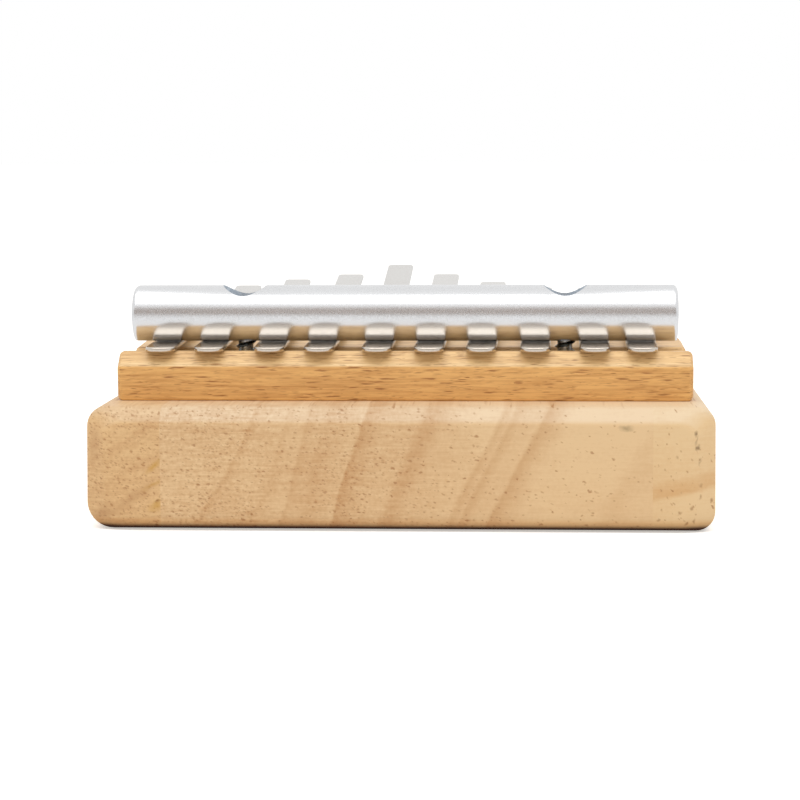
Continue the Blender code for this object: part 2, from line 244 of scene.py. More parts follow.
class NodeGroups:
    """Effects that more than one finish uses, each built once."""

    WANDER = (1.6, 1.0, 0.8)  # scale, detail and reach, in vessel spacings
    SIZE_RANGE = (0.9, 0.5)  # spread and least
    STRENGTH_RANGE = (0.7, 0.3)  # spread and least
    VESSEL_EDGE = 1.7
    FINE_GRAIN = (3.0, 0.6)  # detail and roughness
    COARSE_SCALE = 0.3
    FINE_SHARE = 0.6
    COARSE_SHARE = 0.4
    SPECKLE_LEVELS = (0.35, 0.65)

    @staticmethod
    def open_group(
        name: str, inputs: dict[str, float | None], outputs: Sequence[str]
    ) -> tuple[Graph, bpy.types.Node, bpy.types.Node]:
        """Start a shader node group.

        Args:
            name: The group's name.
            inputs: Default value by input name, or None for a vector.
            outputs: Names of the values that it puts out.

        Returns:
            The graph to write into, the group's input node and its output node.
        """
        tree = bpy.data.node_groups.new(name, "ShaderNodeTree")
        for label, default in inputs.items():
            kind = "NodeSocketVector" if default is None else "NodeSocketFloat"
            socket = tree.interface.new_socket(label, in_out="INPUT", socket_type=kind)
            if default is not None:
                socket.default_value = default
        for label in outputs:
            tree.interface.new_socket(label, in_out="OUTPUT", socket_type="NodeSocketFloat")
        graph = Graph(tree)
        return graph, graph.node("NodeGroupInput"), graph.node("NodeGroupOutput")

    @classmethod
    def pores(cls) -> bpy.types.NodeTree:
        """Cut vessels of a hardwood: scattered dashes, long along the fibre.

        Returns:
            A group that takes coordinates in vessel spacings and puts out a mask.
        """
        name = "wood_vessels"
        if name in bpy.data.node_groups:
            return bpy.data.node_groups[name]
        graph, start, end = cls.open_group(name, {"Vector": None, "Size": 0.2, "Share": 0.5}, ["Mask"])
        bent = graph.bent(start.outputs["Vector"], *cls.WANDER)
        cells = graph.node("ShaderNodeTexVoronoi", {"Vector": bent, "Scale": 1.0})
        chance = graph.node("ShaderNodeSeparateColor", {0: cells.outputs["Color"]}).outputs
        reach = graph.times(start.outputs["Size"], graph.added(chance[2], *cls.SIZE_RANGE))
        near = graph.minus(1.0, graph.math("DIVIDE", cells.outputs["Distance"], reach))
        dot = graph.times(graph.math("MAXIMUM", near, 0.0), cls.VESSEL_EDGE)
        kept = graph.math("LESS_THAN", chance[0], start.outputs["Share"])
        strength = graph.times(kept, graph.added(chance[1], *cls.STRENGTH_RANGE))
        graph.link(graph.times(graph.math("MINIMUM", dot, 1.0), strength), end, "Mask")
        return graph.tree

    @classmethod
    def blasted(cls) -> bpy.types.NodeTree:
        """Fine pitted grain of blasted, tumbled or plated metal.

        Returns:
            A group that takes coordinates and a grain size and puts out a speckle and a height.
        """
        name = "metal_grain"
        if name in bpy.data.node_groups:
            return bpy.data.node_groups[name]
        inputs = {"Vector": None, "Grains per metre": 4000.0}
        graph, start, end = cls.open_group(name, inputs, ["Speckle", "Height"])
        vector, grains = start.outputs["Vector"], start.outputs["Grains per metre"]
        fine = graph.noise(vector, grains, *cls.FINE_GRAIN)
        coarse = graph.noise(vector, graph.times(grains, cls.COARSE_SCALE))
        height = graph.added(coarse, cls.COARSE_SHARE, graph.times(fine, cls.FINE_SHARE))
        graph.link(height, end, "Height")
        graph.link(graph.fade(fine, *cls.SPECKLE_LEVELS), end, "Speckle")
        return graph.tree


class Surface(Graph):
    """The node tree of one material, with its Principled shader."""

    def __init__(self, name: str) -> None:
        """Open a material.

        Args:
            name: The material's name.
        """
        self.material = bpy.data.materials.new(name)
        self.material.use_nodes = True
        super().__init__(self.material.node_tree)
        self.shader = self.tree.nodes["Principled BSDF"]

    @cached_property
    def coordinates(self) -> Any:
        """Outputs of the material's one Texture Coordinate node."""
        return self.node("ShaderNodeTexCoord").outputs

    @property
    def place(self) -> Socket:
        """Object coordinates, in metres."""
        return self.coordinates["Object"]

    def along(self, number: int) -> Socket:
        """Object coordinate along one axis, in metres."""
        return self.axis(self.place, number)

    def facing(self, number: int) -> Socket:
        """How far the surface faces along one axis, from -1 to 1."""
        return self.axis(self.coordinates["Normal"], number)

    def give(self, name: str, value: Any) -> None:
        """Give one of the shader's inputs a socket or a constant."""
        self.link(value, self.shader, name)

    def relief(self, height: Socket, depth: float, strength: float = 1.0) -> None:
        """Raise the surface by a height from 0 to 1, a depth in metres and the share that shows."""
        bump = self.node("ShaderNodeBump", {"Height": height, "Distance": depth, "Strength": strength})
        self.give("Normal", bump.outputs[0])

    def vessels(self, rows: Iterable[tuple[Triple, float, Any]], turn: float) -> Socket:
        """Cut vessels of two sizes.

        Args:
            rows: Spacings per metre, size and share, of the large vessels and then of the small ones.
            turn: Turn of the vessels about Y, in degrees.

        Returns:
            Their mask, fainter for the small ones.
        """
        masks = []
        for spacing, size, share in rows:
            vector = self.stretch(self.place, spacing, (0, turn, 0))
            inputs = {"Vector": vector, "Size": size, "Share": share}
            masks.append(self.node("ShaderNodeGroup", inputs, node_tree=NodeGroups.pores()).outputs["Mask"])
        return self.math("MAXIMUM", masks[0], self.times(masks[1], SMALL_VESSELS))


@dataclass(frozen=True)
class Pattern:
    """Noise over a surface: repeats per metre along each axis, detail and roughness."""

    per_metre: Triple
    detail: float = 2.0
    rough: float = 0.5

    def over(self, skin: Surface) -> Socket:
        """The noise, from 0 to 1."""
        return skin.noise(skin.stretch(skin.place, self.per_metre), 1.0, self.detail, self.rough)

    def swing(self, skin: Surface) -> Socket:
        """The noise, from -0.5 to 0.5."""
        return skin.minus(self.over(skin), 0.5)


@dataclass(frozen=True)
class Mark:
    """A soft oval mark on the near end of a stave, running in along the fibre; sizes in mm."""

    across: float
    height: float
    length: float
    thickness: float
    turn: float
    share: float
    colour: Colour

    def laid_on(self, skin: Surface, place: Socket, wood: Socket) -> Socket:
        """Lay the mark on the wood.

        Args:
            skin: The stave's surface.
            place: Object coordinates, wavy as the wood's fibre is.
            wood: The colour below.

        Returns:
            The marked colour.
        """
        turn = math.radians(self.turn)
        spot = Matrix.Rotation(turn, 3, "Y") @ Vector((self.across * MM, NEAR_END, self.height * MM))
        inputs = {"Vector": place, "Rotation": (0, turn, 0), "Location": -spot}
        turned = skin.node("ShaderNodeMapping", inputs).outputs[0]
        scale = (1 / (self.length * MM), 1 / MARK_DEPTH, 1 / (self.thickness * MM))
        oval = skin.node("ShaderNodeMapping", {"Vector": turned, "Scale": scale}).outputs[0]
        far = skin.vector("LENGTH", oval)["Value"]
        return skin.mix(skin.fade(far, 1.0, MARK_HEART, most=self.share), wood, self.colour)


@dataclass(frozen=True)
class Finish:
    """A surface finish: what every one of them shares."""

    name: str


@dataclass(frozen=True)
class StaveWood(Finish):
    """Pale porous hardwood whose fibre runs along the board, so its near end shows end grain."""

    rings: Stops
    lean: Stops
    pale: Colour
    dark: Colour
    pores: Stops
    pore_turn: float
    middle: float = 0.0
    across_gain: float = 1.0
    span: float = 100 * MM
    middle_height: float = 10 * MM
    streaks: Pattern = Pattern((1500, 14, 1500), 3.0, 0.6)
    clouds: Pattern = Pattern((75, 14, 75), 3.0, 0.55)
    sanding: Pattern = Pattern((260, 260, 3000), 2.0, 0.6)
    drifts: Pattern = Pattern((150, 20, 150))
    drift_levels: tuple[float, float, float, float] = (0.36, 0.62, 0.30, 1.1)
    ring_sways: tuple[tuple[Pattern, float], ...] = (
        (Pattern((90, 9, 90)), 0.012), (Pattern((900, 30, 900)), 0.006)
    )
    vessel_rows: tuple[tuple[Triple, float], ...] = (((860, 50, 1500), 0.29), ((1500, 90, 2700), 0.38))
    least_texture: float = 0.25
    cloud_share: float = 0.7
    vessel: Colour = (0.33, 0.118, 0.022)
    vessel_share: float = 0.8
    # Painted contact shade: a near-black brown, its strength by height, the height it reaches and the facing
    # that leaves the flat underside out. It stands in for the shade where the board meets the floor.
    grime: Colour = (0.045, 0.012, 0.002)
    foot: Stops = (
        (0.0, 1.0), (0.165, 1.0), (0.20, 0.86), (0.25, 0.58),
        (0.32, 0.28), (0.44, 0.10), (0.64, 0.03), (1.0, 0.0),
    )
    foot_height: float = 4 * MM
    foot_facing: Pair = (-0.9995, -0.995)
    # Painted warm shade: an orange multiply low on the board, full below 1.5 mm and gone above 2.3 mm, that
    # warms the painted contact shade.
    toast: Colour = (1.0, 0.885, 0.74)
    toast_heights: Pair = (2.3 * MM, 1.5 * MM)
    # Up-facing faces made paler and cooler: partly the paler long grain, partly painted sheen.
    long_grain: Colour = (0.98, 1.075, 1.29)
    roughness: float = 0.45
    streak_roughness: float = 0.2
    foot_roughness: float = 0.5
    sanding_relief: float = 0.3
    relief_depth: float = 0.012 * MM
    relief_strength: float = 0.8
    mark_waves: float = 1100.0
    mark_detail: float = 2.0
    mark_sway: float = 0.9 * MM
    marks: tuple[Mark, ...] = ()

    def material(self) -> bpy.types.Material:
        """Build the wood.

        Returns:
            The finished material.
        """
        skin = Surface(self.name)
        offset = skin.minus(skin.along(0), self.middle)
        across = skin.added(offset, self.across_gain / self.span, 0.5)
        streaks = self.streaks.over(skin)
        sanded = self.sanding.over(skin)
        density = skin.ramp(across, self.pores)
        texture = skin.minus(skin.math("ADD", streaks, sanded), 1.0)
        fine = skin.math("ADD", density, self.least_texture)
        tone = skin.added(texture, fine, self.growth_rings(skin, across))
        tone = skin.added(self.clouds.swing(skin), self.cloud_share, tone)
        wood = skin.mix(tone, self.pale, self.dark)
        pores = self.cut_vessels(skin, density)
        wood = skin.mix(skin.times(pores, self.vessel_share), wood, self.vessel)
        # Mask of the painted contact shade along the foot, which also roughens it.
        foot = self.foot_mask(skin)
        skin.give("Base Color", self.marked(skin, wood, foot))
        rough = skin.added(streaks, self.streak_roughness, self.roughness)
        skin.give("Roughness", skin.added(foot, self.foot_roughness, rough))
        height = skin.minus(skin.times(sanded, self.sanding_relief), pores)
        skin.relief(height, self.relief_depth, self.relief_strength)
        return skin.material

    def growth_rings(self, skin: Surface, across: Socket) -> Socket:
        """Late wood of the growth rings, sharp on one side and fading on the other.

        Args:
            skin: The stave's surface.
            across: Place across the stave, from 0 to 1.

        Returns:
            How dark the wood is, from 0 to 1.
        """
        lift = skin.minus(skin.along(2), self.middle_height)
        lean = skin.ramp(across, self.lean, "B_SPLINE")
        place = skin.minus(across, skin.times(skin.times(lean, lift), 1 / self.span))
        for sway, spread in self.ring_sways:
            place = skin.added(sway.swing(skin), spread, place)
        return skin.ramp(place, self.rings)

    def cut_vessels(self, skin: Surface, density: Socket) -> Socket:
        """Mask of large and small vessels, in loose drifts, at a density from 0 to 1."""
        share = skin.times(skin.fade(self.drifts.over(skin), *self.drift_levels), density)
        return skin.vessels([(*row, share) for row in self.vessel_rows], self.pore_turn)

    def foot_mask(self, skin: Surface) -> Socket:
        """How strongly painted contact shade darkens the foot all round the board, from 0 to 1, with the flat
        underside left out.
        """
        rise = skin.times(skin.along(2), 1 / self.foot_height)
        return skin.times(skin.ramp(rise, self.foot), skin.fade(skin.facing(2), *self.foot_facing))

    def marked(self, skin: Surface, wood: Socket, foot: Socket) -> Socket:
        """Paler long grain with painted sheen where the surface faces up, painted warm shade and painted
        contact shade low on the board, and the stave's own marks.

        Args:
            skin: The stave's surface.
            wood: The clean wood's colour.
            foot: How strongly painted contact shade darkens the foot.

        Returns:
            The marked colour.
        """
        # Paler long grain and painted sheen where the surface faces up.
        wood = skin.mix(skin.fade(skin.facing(2), *FACING_UP), wood, self.long_grain, "MULTIPLY")
        # Painted warm shade low on the board.
        warm_shade_share = skin.fade(skin.along(2), *self.toast_heights)
        wood = skin.mix(warm_shade_share, wood, self.toast, "MULTIPLY")
        # Painted contact shade: near-black brown over the foot.
        wood = skin.mix(foot, wood, self.grime)
        wavy = skin.bent(skin.place, self.mark_waves, self.mark_detail, self.mark_sway)
        wavy = skin.vector("SUBTRACT", wavy, (self.mark_sway / 2,) * 3)[0]
        for mark in self.marks:
            wood = mark.laid_on(skin, wavy, wood)
        return wood


@dataclass(frozen=True)
class BeechWood(Finish):
    """Planed beech with short dark ray flecks along the grain, which runs across the instrument."""

    pale: Colour = (0.83, 0.466, 0.151)
    dark: Colour = (0.58, 0.278, 0.076)
    figure: Pattern = Pattern((14, 300, 300), 3.0, 0.55)
    fibres: Pattern = Pattern((110, 2300, 2300), 3.0, 0.65)
    fibre_contrast: float = 3.0
    fibre_level: float = 0.30
    fleck: Colour = (0.27, 0.085, 0.014)
    fleck_share: float = 0.85
    fleck_turn: float = 0.8
    fleck_rows: tuple[tuple[Triple, float, float], ...] = (
        ((300, 2600, 2600), 0.36, 0.9), ((520, 3600, 3600), 0.36, 1.0)
    )
    end_grain_power: float = 3.0
    end_grain_share: float = 0.45
    # Painted sheen: up-facing beech is made paler and cooler, standing in for the sheen of the light on it.
    top_grain: Colour = (1.0, 1.17, 1.65)
    # A pale band along the chamfer's lower arris, partly edge wear and partly a painted highlight, with its
    # lift above the arris, half width and full width.
    rubbed: Colour = (1.06, 1.13, 1.24)
    rubbed_lift: float = 0.3 * MM
    rubbed_half: float = 0.45 * MM
    rubbed_full: float = 0.09 * MM
    roughness: float = 0.34
    fibre_roughness: float = 0.2
    fibre_relief: float = 0.4
    relief_depth: float = 0.012 * MM
    relief_strength: float = 0.7

    def material(self, arris: float) -> bpy.types.Material:
        """Build the wood.

        Args:
            arris: Height of the rear chamfer's lower edge, which gets a pale band, partly edge wear and
                partly a painted highlight.

        Returns:
            The finished material.
        """
        skin = Surface(self.name)
        fibres = self.fibres.over(skin)
        tone = skin.added(skin.minus(fibres, 0.5), self.fibre_contrast, self.fibre_level)
        tone = skin.math("ADD", self.figure.swing(skin), tone)
        wood = skin.mix(tone, self.pale, self.dark)
        flecks = skin.vessels(self.fleck_rows, self.fleck_turn)
        wood = skin.mix(skin.times(flecks, self.fleck_share), wood, self.fleck)
        end_grain = skin.math("POWER", skin.math("ABSOLUTE", skin.facing(0)), self.end_grain_power)
        wood = skin.mix(skin.times(end_grain, self.end_grain_share), wood, self.dark)
        upward = skin.fade(skin.facing(2), *FACING_UP)
        # Painted sheen on up-facing faces.
        wood = skin.mix(upward, wood, self.top_grain, "MULTIPLY")
        # Pale band on the chamfer's lower arris: partly edge wear, partly a painted highlight.
        off = skin.math("ABSOLUTE", skin.minus(skin.along(2), arris + self.rubbed_lift))
        near = skin.fade(off, self.rubbed_half, self.rubbed_full)
        wood = skin.mix(skin.times(near, upward), wood, self.rubbed, "MULTIPLY")
        skin.give("Base Color", wood)
        skin.give("Roughness", skin.added(fibres, self.fibre_roughness, self.roughness))
        height = skin.minus(skin.times(fibres, self.fibre_relief), flecks)
        skin.relief(height, self.relief_depth, self.relief_strength)
        return skin.material


@dataclass(frozen=True)
class GrainedMetal(Finish):
    """Metal with a fine blasted, tumbled or plated grain."""

    pale: Colour
    dark: Colour
    roughness: float
    rough_spread: float
    grains_per_metre: float
    grain_depth: float
    grain_stretch: Triple = (1.0, 1.0, 1.0)
    stain: Pattern = Pattern((60, 60, 60), 3.0)
    stain_share: float = 0.5
    speckle_share: float = 0.5

    def material(self) -> bpy.types.Material:
        """Build the metal.

        Returns:
            The finished material.
        """
        skin = Surface(self.name)
        skin.give("Metallic", 1.0)
        vector = skin.stretch(skin.place, self.grain_stretch)
        inputs = {"Vector": vector, "Grains per metre": self.grains_per_metre}
        grain = skin.node("ShaderNodeGroup", inputs, node_tree=NodeGroups.blasted()).outputs
        speckle, height = self.worn(skin, grain["Speckle"], grain["Height"])
        share = skin.added(self.stain.over(skin), self.stain_share, skin.times(speckle, self.speckle_share))
        skin.give("Base Color", self.tinted(skin, skin.mix(share, self.pale, self.dark)))
        skin.give("Roughness", skin.added(speckle, self.rough_spread, self.roughness))
        skin.relief(height, self.grain_depth)
        return skin.material

    def tinted(self, skin: Surface, colour: Socket) -> Socket:
        """Give the metal's colour as it is."""
        return colour

    def worn(self, skin: Surface, speckle: Socket, height: Socket) -> tuple[Socket, Socket]:
        """Give the grain's speckle and height as they are."""
        return speckle, height


@dataclass(frozen=True)
class BarAluminium(GrainedMetal):
    """Blasted bar whose grain is worn nearly smooth underneath."""

    worn_heights: Pair = (32.3 * MM, 33.3 * MM)
    worn_share: float = 0.12

    def worn(self, skin: Surface, speckle: Socket, height: Socket) -> tuple[Socket, Socket]:
        """Flatten the grain's speckle and height low on the bar."""
        kept = skin.fade(skin.along(2), *self.worn_heights, self.worn_share)
        return skin.times(speckle, kept), skin.times(height, kept)


@dataclass(frozen=True)
class TineSteel(GrainedMetal):
    """Spring strip whose colour grows warmer towards its clamped end."""

    straw: Colour = (1.0, 0.925, 0.84)
    straw_places: Pair = (-46 * MM, -52 * MM)

    def tinted(self, skin: Surface, colour: Socket) -> Socket:
        """Warm the colour towards the clamped end."""
        return skin.mix(skin.fade(skin.along(1), *self.straw_places), colour, self.straw, "MULTIPLY")


@dataclass(frozen=True)
class Finishes:
    """Every finish of the instrument."""

    core: StaveWood = StaveWood(
        "core_wood",
        rings=(
            (0.0, 0.36), (0.223, 0.32), (0.2285, 0.66), (0.244, 0.34), (0.295, 0.30), (0.300, 0.50),
            (0.314, 0.34), (0.331, 0.32), (0.336, 0.60), (0.352, 0.42), (0.368, 0.60), (0.392, 0.40),
            (0.4135, 0.26), (0.4185, 0.86), (0.435, 0.64), (0.455, 0.42), (0.4965, 0.32), (0.508, 0.62),
            (0.517, 0.70), (0.545, 0.28), (0.6185, 0.12), (0.6235, 0.52), (0.6365, 0.26), (0.643, 0.54),
            (0.66, 0.22), (0.6855, 0.12), (0.692, 0.60), (0.713, 0.26), (0.735, 0.04), (0.855, 0.02),
            (0.875, 0.18), (1.0, 0.0),
        ),
        lean=(
            (0.0, 0.66), (0.240, 0.68), (0.29, 0.28), (0.37, 0.22), (0.416, 0.33), (0.51, 0.42),
            (0.62, 0.50), (0.69, 0.535), (1.0, 0.54),
        ),
        pores=(
            (0.0, 1.0), (0.12, 0.95), (0.18, 1.0), (0.27, 0.95), (0.33, 0.55), (0.44, 0.75),
            (0.55, 0.42), (0.70, 0.19), (1.0, 0.12),
        ),
        pale=(0.780, 0.535, 0.285),
        dark=(0.56, 0.300, 0.122),
        pore_turn=-16.0,
        marks=(Mark(36.4, 16.9, 1.5, 0.6, 0.0, 0.6, DARK_KNOT),),
    )
    left_stave: StaveWood = StaveWood(
        "left_stave_wood",
        rings=(
            (0.0, 0.3), (0.455, 0.2), (0.46, 0.5), (0.48, 0.22), (0.50, 0.2), (0.505, 0.45),
            (0.53, 0.2), (1.0, 0.3),
        ),
        lean=((0.0, 0.86), (0.5, 0.86), (1.0, 0.86)),
        pores=((0.0, 0.95), (0.5, 0.9), (1.0, 0.8)),
        pale=(0.745, 0.478, 0.226),
        dark=(0.54, 0.282, 0.112),
        pore_turn=-24.0,
        middle=-44.6 * MM,
        across_gain=0.51,
        marks=(
            Mark(-39.4, 10.6, 2.1, 0.62, 42.0, 0.75, RESIN),
            Mark(-39.6, 7.5, 2.6, 0.5, 30.0, 0.6, RESIN),
            Mark(-39.0, 4.2, 1.9, 1.1, 30.0, 0.7, RESIN),
            Mark(-38.9, 4.9, 0.45, 0.4, 0.0, 0.9, DARK_PIT),
            Mark(-43.0, 5.2, 6.5, 1.3, 33.0, 0.5, BROWN_BAND),
            Mark(-48.0, 2.9, 2.6, 1.5, 40.0, 0.6, BROWN_BAND),
            Mark(-49.2, 14.2, 4.0, 1.6, 85.0, 0.5, BROWN_BAND),
        ),
    )
    right_stave: StaveWood = StaveWood(
        "right_stave_wood",
        rings=((0.0, 0.12), (0.505, 0.10), (0.515, 0.45), (0.5335, 0.70), (0.5365, 0.10), (1.0, 0.12)),
        lean=((0.0, 0.98), (0.5, 0.98), (1.0, 0.98)),
        pores=((0.0, 0.14), (0.5, 0.14), (1.0, 0.16)),
        pale=(0.785, 0.548, 0.292),
        dark=(0.64, 0.345, 0.128),
        pore_turn=-60.0,
        middle=45.75 * MM,
        across_gain=0.2,
        marks=(
            Mark(47.4, 16.0, 0.60, 0.34, 80.0, 0.8, SCUFF),
            Mark(47.6, 14.9, 1.20, 0.24, 80.0, 0.4, SCUFF),
            Mark(47.8, 13.8, 0.62, 0.38, 70.0, 0.8, SCUFF),
            Mark(48.1, 11.4, 1.00, 0.26, 80.0, 0.35, SCUFF),
            Mark(48.3, 7.7, 0.45, 0.30, 80.0, 0.5, DARK_PIT),
            Mark(48.3, 5.9, 0.50, 0.32, 70.0, 0.6, DARK_PIT),
            Mark(50.0, 5.1, 0.42, 0.34, 60.0, 0.7, DARK_PIT),
            Mark(47.0, 4.1, 0.40, 0.34, 40.0, 0.6, DARK_PIT),
            Mark(44.9, 3.3, 0.38, 0.34, 0.0, 0.65, DARK_PIT),
            Mark(46.0, 1.5, 0.48, 0.34, 50.0, 0.75, DARK_PIT),
            Mark(47.2, 1.8, 0.42, 0.32, -50.0, 0.7, DARK_PIT),
            Mark(41.7, 2.2, 0.36, 0.30, -40.0, 0.6, DARK_PIT),
            Mark(44.5, 12.3, 0.36, 0.30, 0.0, 0.45, DARK_PIT),
        ),
    )
    beech: BeechWood = BeechWood("bridge_beech")
    bar: BarAluminium = BarAluminium(
        "bar_blasted_aluminium", (0.78, 0.785, 0.795), (0.65, 0.652, 0.66), 0.225, 0.11, 3600.0, 0.012 * MM
    )
    tine: TineSteel = TineSteel(
        "tine_spring_steel", (0.69, 0.675, 0.65), (0.55, 0.53, 0.50), 0.17, 0.05, 3600.0, 0.002 * MM,
        (1.0, 0.6, 1.0),
    )
    bore: GrainedMetal = GrainedMetal(
        "bar_drilled_aluminium", (0.61, 0.67, 0.73), (0.34, 0.39, 0.45), 0.40, 0.15, 2600.0, 0.006 * MM
    )
    zinc: GrainedMetal = GrainedMetal(
        "screw_zinc", (0.52, 0.56, 0.58), (0.24, 0.26, 0.27), 0.22, 0.15, 3000.0, 0.006 * MM
    )
    rod: GrainedMetal = GrainedMetal(
        "saddle_drawn_steel", (0.70, 0.69, 0.67), (0.50, 0.49, 0.47), 0.18, 0.12, 2600.0, 0.004 * MM,
        (0.1, 1.0, 1.0),
    )


@dataclass(frozen=True)
class Rounding:
    """A rounded edge: width, facets across, and the least angle, in degrees, of the edges it is for."""

    width: float
    segments: int
    least_angle: float


class Piece:
    """One finished piece, shaped as a bmesh and then dressed."""

    SHARP_ANGLE = math.radians(35.0)
    LARGE_FACE_WEIGHT = 100

    def __init__(self, name: str) -> None:
        """Start an empty shape."""
        self.name = name
        self.shape = bmesh.new()

    @classmethod
    def from_node(cls, name: str, node: str) -> "Piece":
        """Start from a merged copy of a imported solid.

        Args:
            name: The piece's name.
            node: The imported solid's name.

        Returns:
            The new piece, with its flat facets joined.
        """
        piece = cls(name)
        shape = piece.shape
        shape.from_mesh(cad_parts[node].data)
        bmesh.ops.remove_doubles(shape, verts=shape.verts, dist=MERGE_DISTANCE)
        bmesh.ops.dissolve_limit(shape, angle_limit=FLAT_ANGLE, verts=shape.verts, edges=shape.edges)
        return piece

    @classmethod
    def drill(cls, name: str, diameter: float, depth: float, facets: int, place: Matrix) -> "Piece":
        """Make a round cutting shape.

        Args:
            name: The shape's name.
            diameter: Its diameter.
            depth: Its length along Z.
            facets: Facets around.
            place: Where its middle goes, with its turn.

        Returns:
            The shape.
        """
        tool = cls(name)
        bmesh.ops.create_cone(
            tool.shape, cap_ends=True, segments=facets, radius1=diameter / 2, radius2=diameter / 2,
            depth=depth, matrix=place,
        )
        return tool

    def turned(self, profile: Sequence[Pair], facets: int) -> None:
        """Spin a profile about Z into a closed turned shape.

        Args:
            profile: Radius and height of each point, from the axis round to the axis again.
            facets: Facets around.
        """
        points = [self.shape.verts.new((radius, 0.0, height)) for radius, height in profile]
        edges = [self.shape.edges.new(pair) for pair in zip(points, points[1:])]
        bmesh.ops.spin(
            self.shape, geom=[*points, *edges], cent=(0, 0, 0), axis=(0, 0, 1), angle=math.tau, steps=facets,
            use_merge=True,
        )
        bmesh.ops.remove_doubles(self.shape, verts=self.shape.verts, dist=MERGE_DISTANCE)
        self.face_out()

    def rod(self, low: Vector, high: Vector, radius: float, facets: int, ends: Rounding) -> None:
        """Turn a rod along X, up to the top of a box, and round its ends.

        Args:
            low: The box's lowest corner.
            high: The box's highest corner.
            radius: The rod's radius.
            facets: Facets around.
            ends: The rounding of its ends.
        """
        half = (high.x - low.x) / 2
        self.turned([(0.0, half), (radius, half), (radius, -half), (0.0, -half)], facets)
        self.round_edges(ends)
        middle = ((low.x + high.x) / 2, (low.y + high.y) / 2, high.z - radius)
        self.move(Matrix.Translation(middle) @ ALONG_X)

    def round_edges(self, rounding: Rounding) -> None:
        """Round every edge that is sharp enough.

        Args:
            rounding: The rounding.
        """
        least = math.radians(rounding.least_angle)
        edges = self.shape.edges
        self.bevel([e for e in edges if e.is_manifold and e.calc_face_angle(0.0) > least], rounding)

    def bevel(self, edges: Sequence[bmesh.types.BMEdge], rounding: Rounding) -> None:
        """Bevel some edges, whatever their angle."""
        bmesh.ops.bevel(
            self.shape, geom=edges, offset=rounding.width, offset_type="OFFSET", segments=rounding.segments,
            profile=0.5, affect="EDGES", material=-1, clamp_overlap=True,
        )

    def plane_off(self, spot: Sequence[float], normal: Sequence[float]) -> None:
        """Cut away what lies outside a plane and close the cut.

        Args:
            spot: A point of the plane.
            normal: Direction in which the waste lies.
        """
        whole = [*self.shape.verts, *self.shape.edges, *self.shape.faces]
        cut = bmesh.ops.bisect_plane(
            self.shape, geom=whole, plane_co=spot, plane_no=normal, clear_outer=True
        )
        bmesh.ops.contextual_create(self.shape, geom=only(bmesh.types.BMEdge, cut["geom_cut"]))

    def move(self, matrix: Matrix) -> None:
        """Turn and place the whole shape."""
        bmesh.ops.transform(self.shape, matrix=matrix, verts=self.shape.verts)

    def face_out(self) -> None:
        """Point every face outwards."""
        bmesh.ops.recalc_face_normals(self.shape, faces=self.shape.faces)

    def carve(self, tools: Iterable["Piece"]) -> None:
        """Cut other shapes out of this one.

        Args:
            tools: The shapes to cut away, which are used up.
        """
        body = self.placed(self.name + "_tool")
        cutters = [tool.placed(tool.name + "_tool") for tool in tools]
        for cutter in cutters:
            cut = body.modifiers.new(cutter.name, "BOOLEAN")
            cut.operation = "DIFFERENCE"
            cut.object = cutter
        graph = bpy.context.evaluated_depsgraph_get()
        result = bpy.data.meshes.new_from_object(body.evaluated_get(graph))
        self.shape = bmesh.new()
        self.shape.from_mesh(result)
        for item in (body, *cutters):
            mesh = item.data
            bpy.data.objects.remove(item)
            bpy.data.meshes.remove(mesh)
        bpy.data.meshes.remove(result)

    def placed(self, name: str) -> bpy.types.Object:
        """Put the shape in the scene, which uses it up.

        Args:
            name: Name of the mesh and of the object.

        Returns:
            The shape's object.
        """
        mesh = bpy.data.meshes.new(name)
        self.shape.to_mesh(mesh)
        self.shape.free()
        return added_object(name, mesh)

    def dress(
        self, finish: bpy.types.Material, body: str, slot: str, nodes: Sequence[str], weighted: bool = True
    ) -> bpy.types.Object:
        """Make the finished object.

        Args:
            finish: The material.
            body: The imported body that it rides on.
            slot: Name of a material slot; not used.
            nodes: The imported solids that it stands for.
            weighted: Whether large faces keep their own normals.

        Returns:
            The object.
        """
        made = self.placed(self.name)
        mesh = made.data
        mesh.shade_smooth()
        mesh.set_sharp_from_angle(angle=self.SHARP_ANGLE)
        mesh.materials.append(finish)
        if weighted:
            normals = made.modifiers.new("even_normals", "WEIGHTED_NORMAL")
            normals.keep_sharp = True
            normals.weight = self.LARGE_FACE_WEIGHT
        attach(made, body)
        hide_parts(*nodes)
        LOG.info("%s: %d faces on body %s", self.name, len(mesh.polygons), body)
        return made


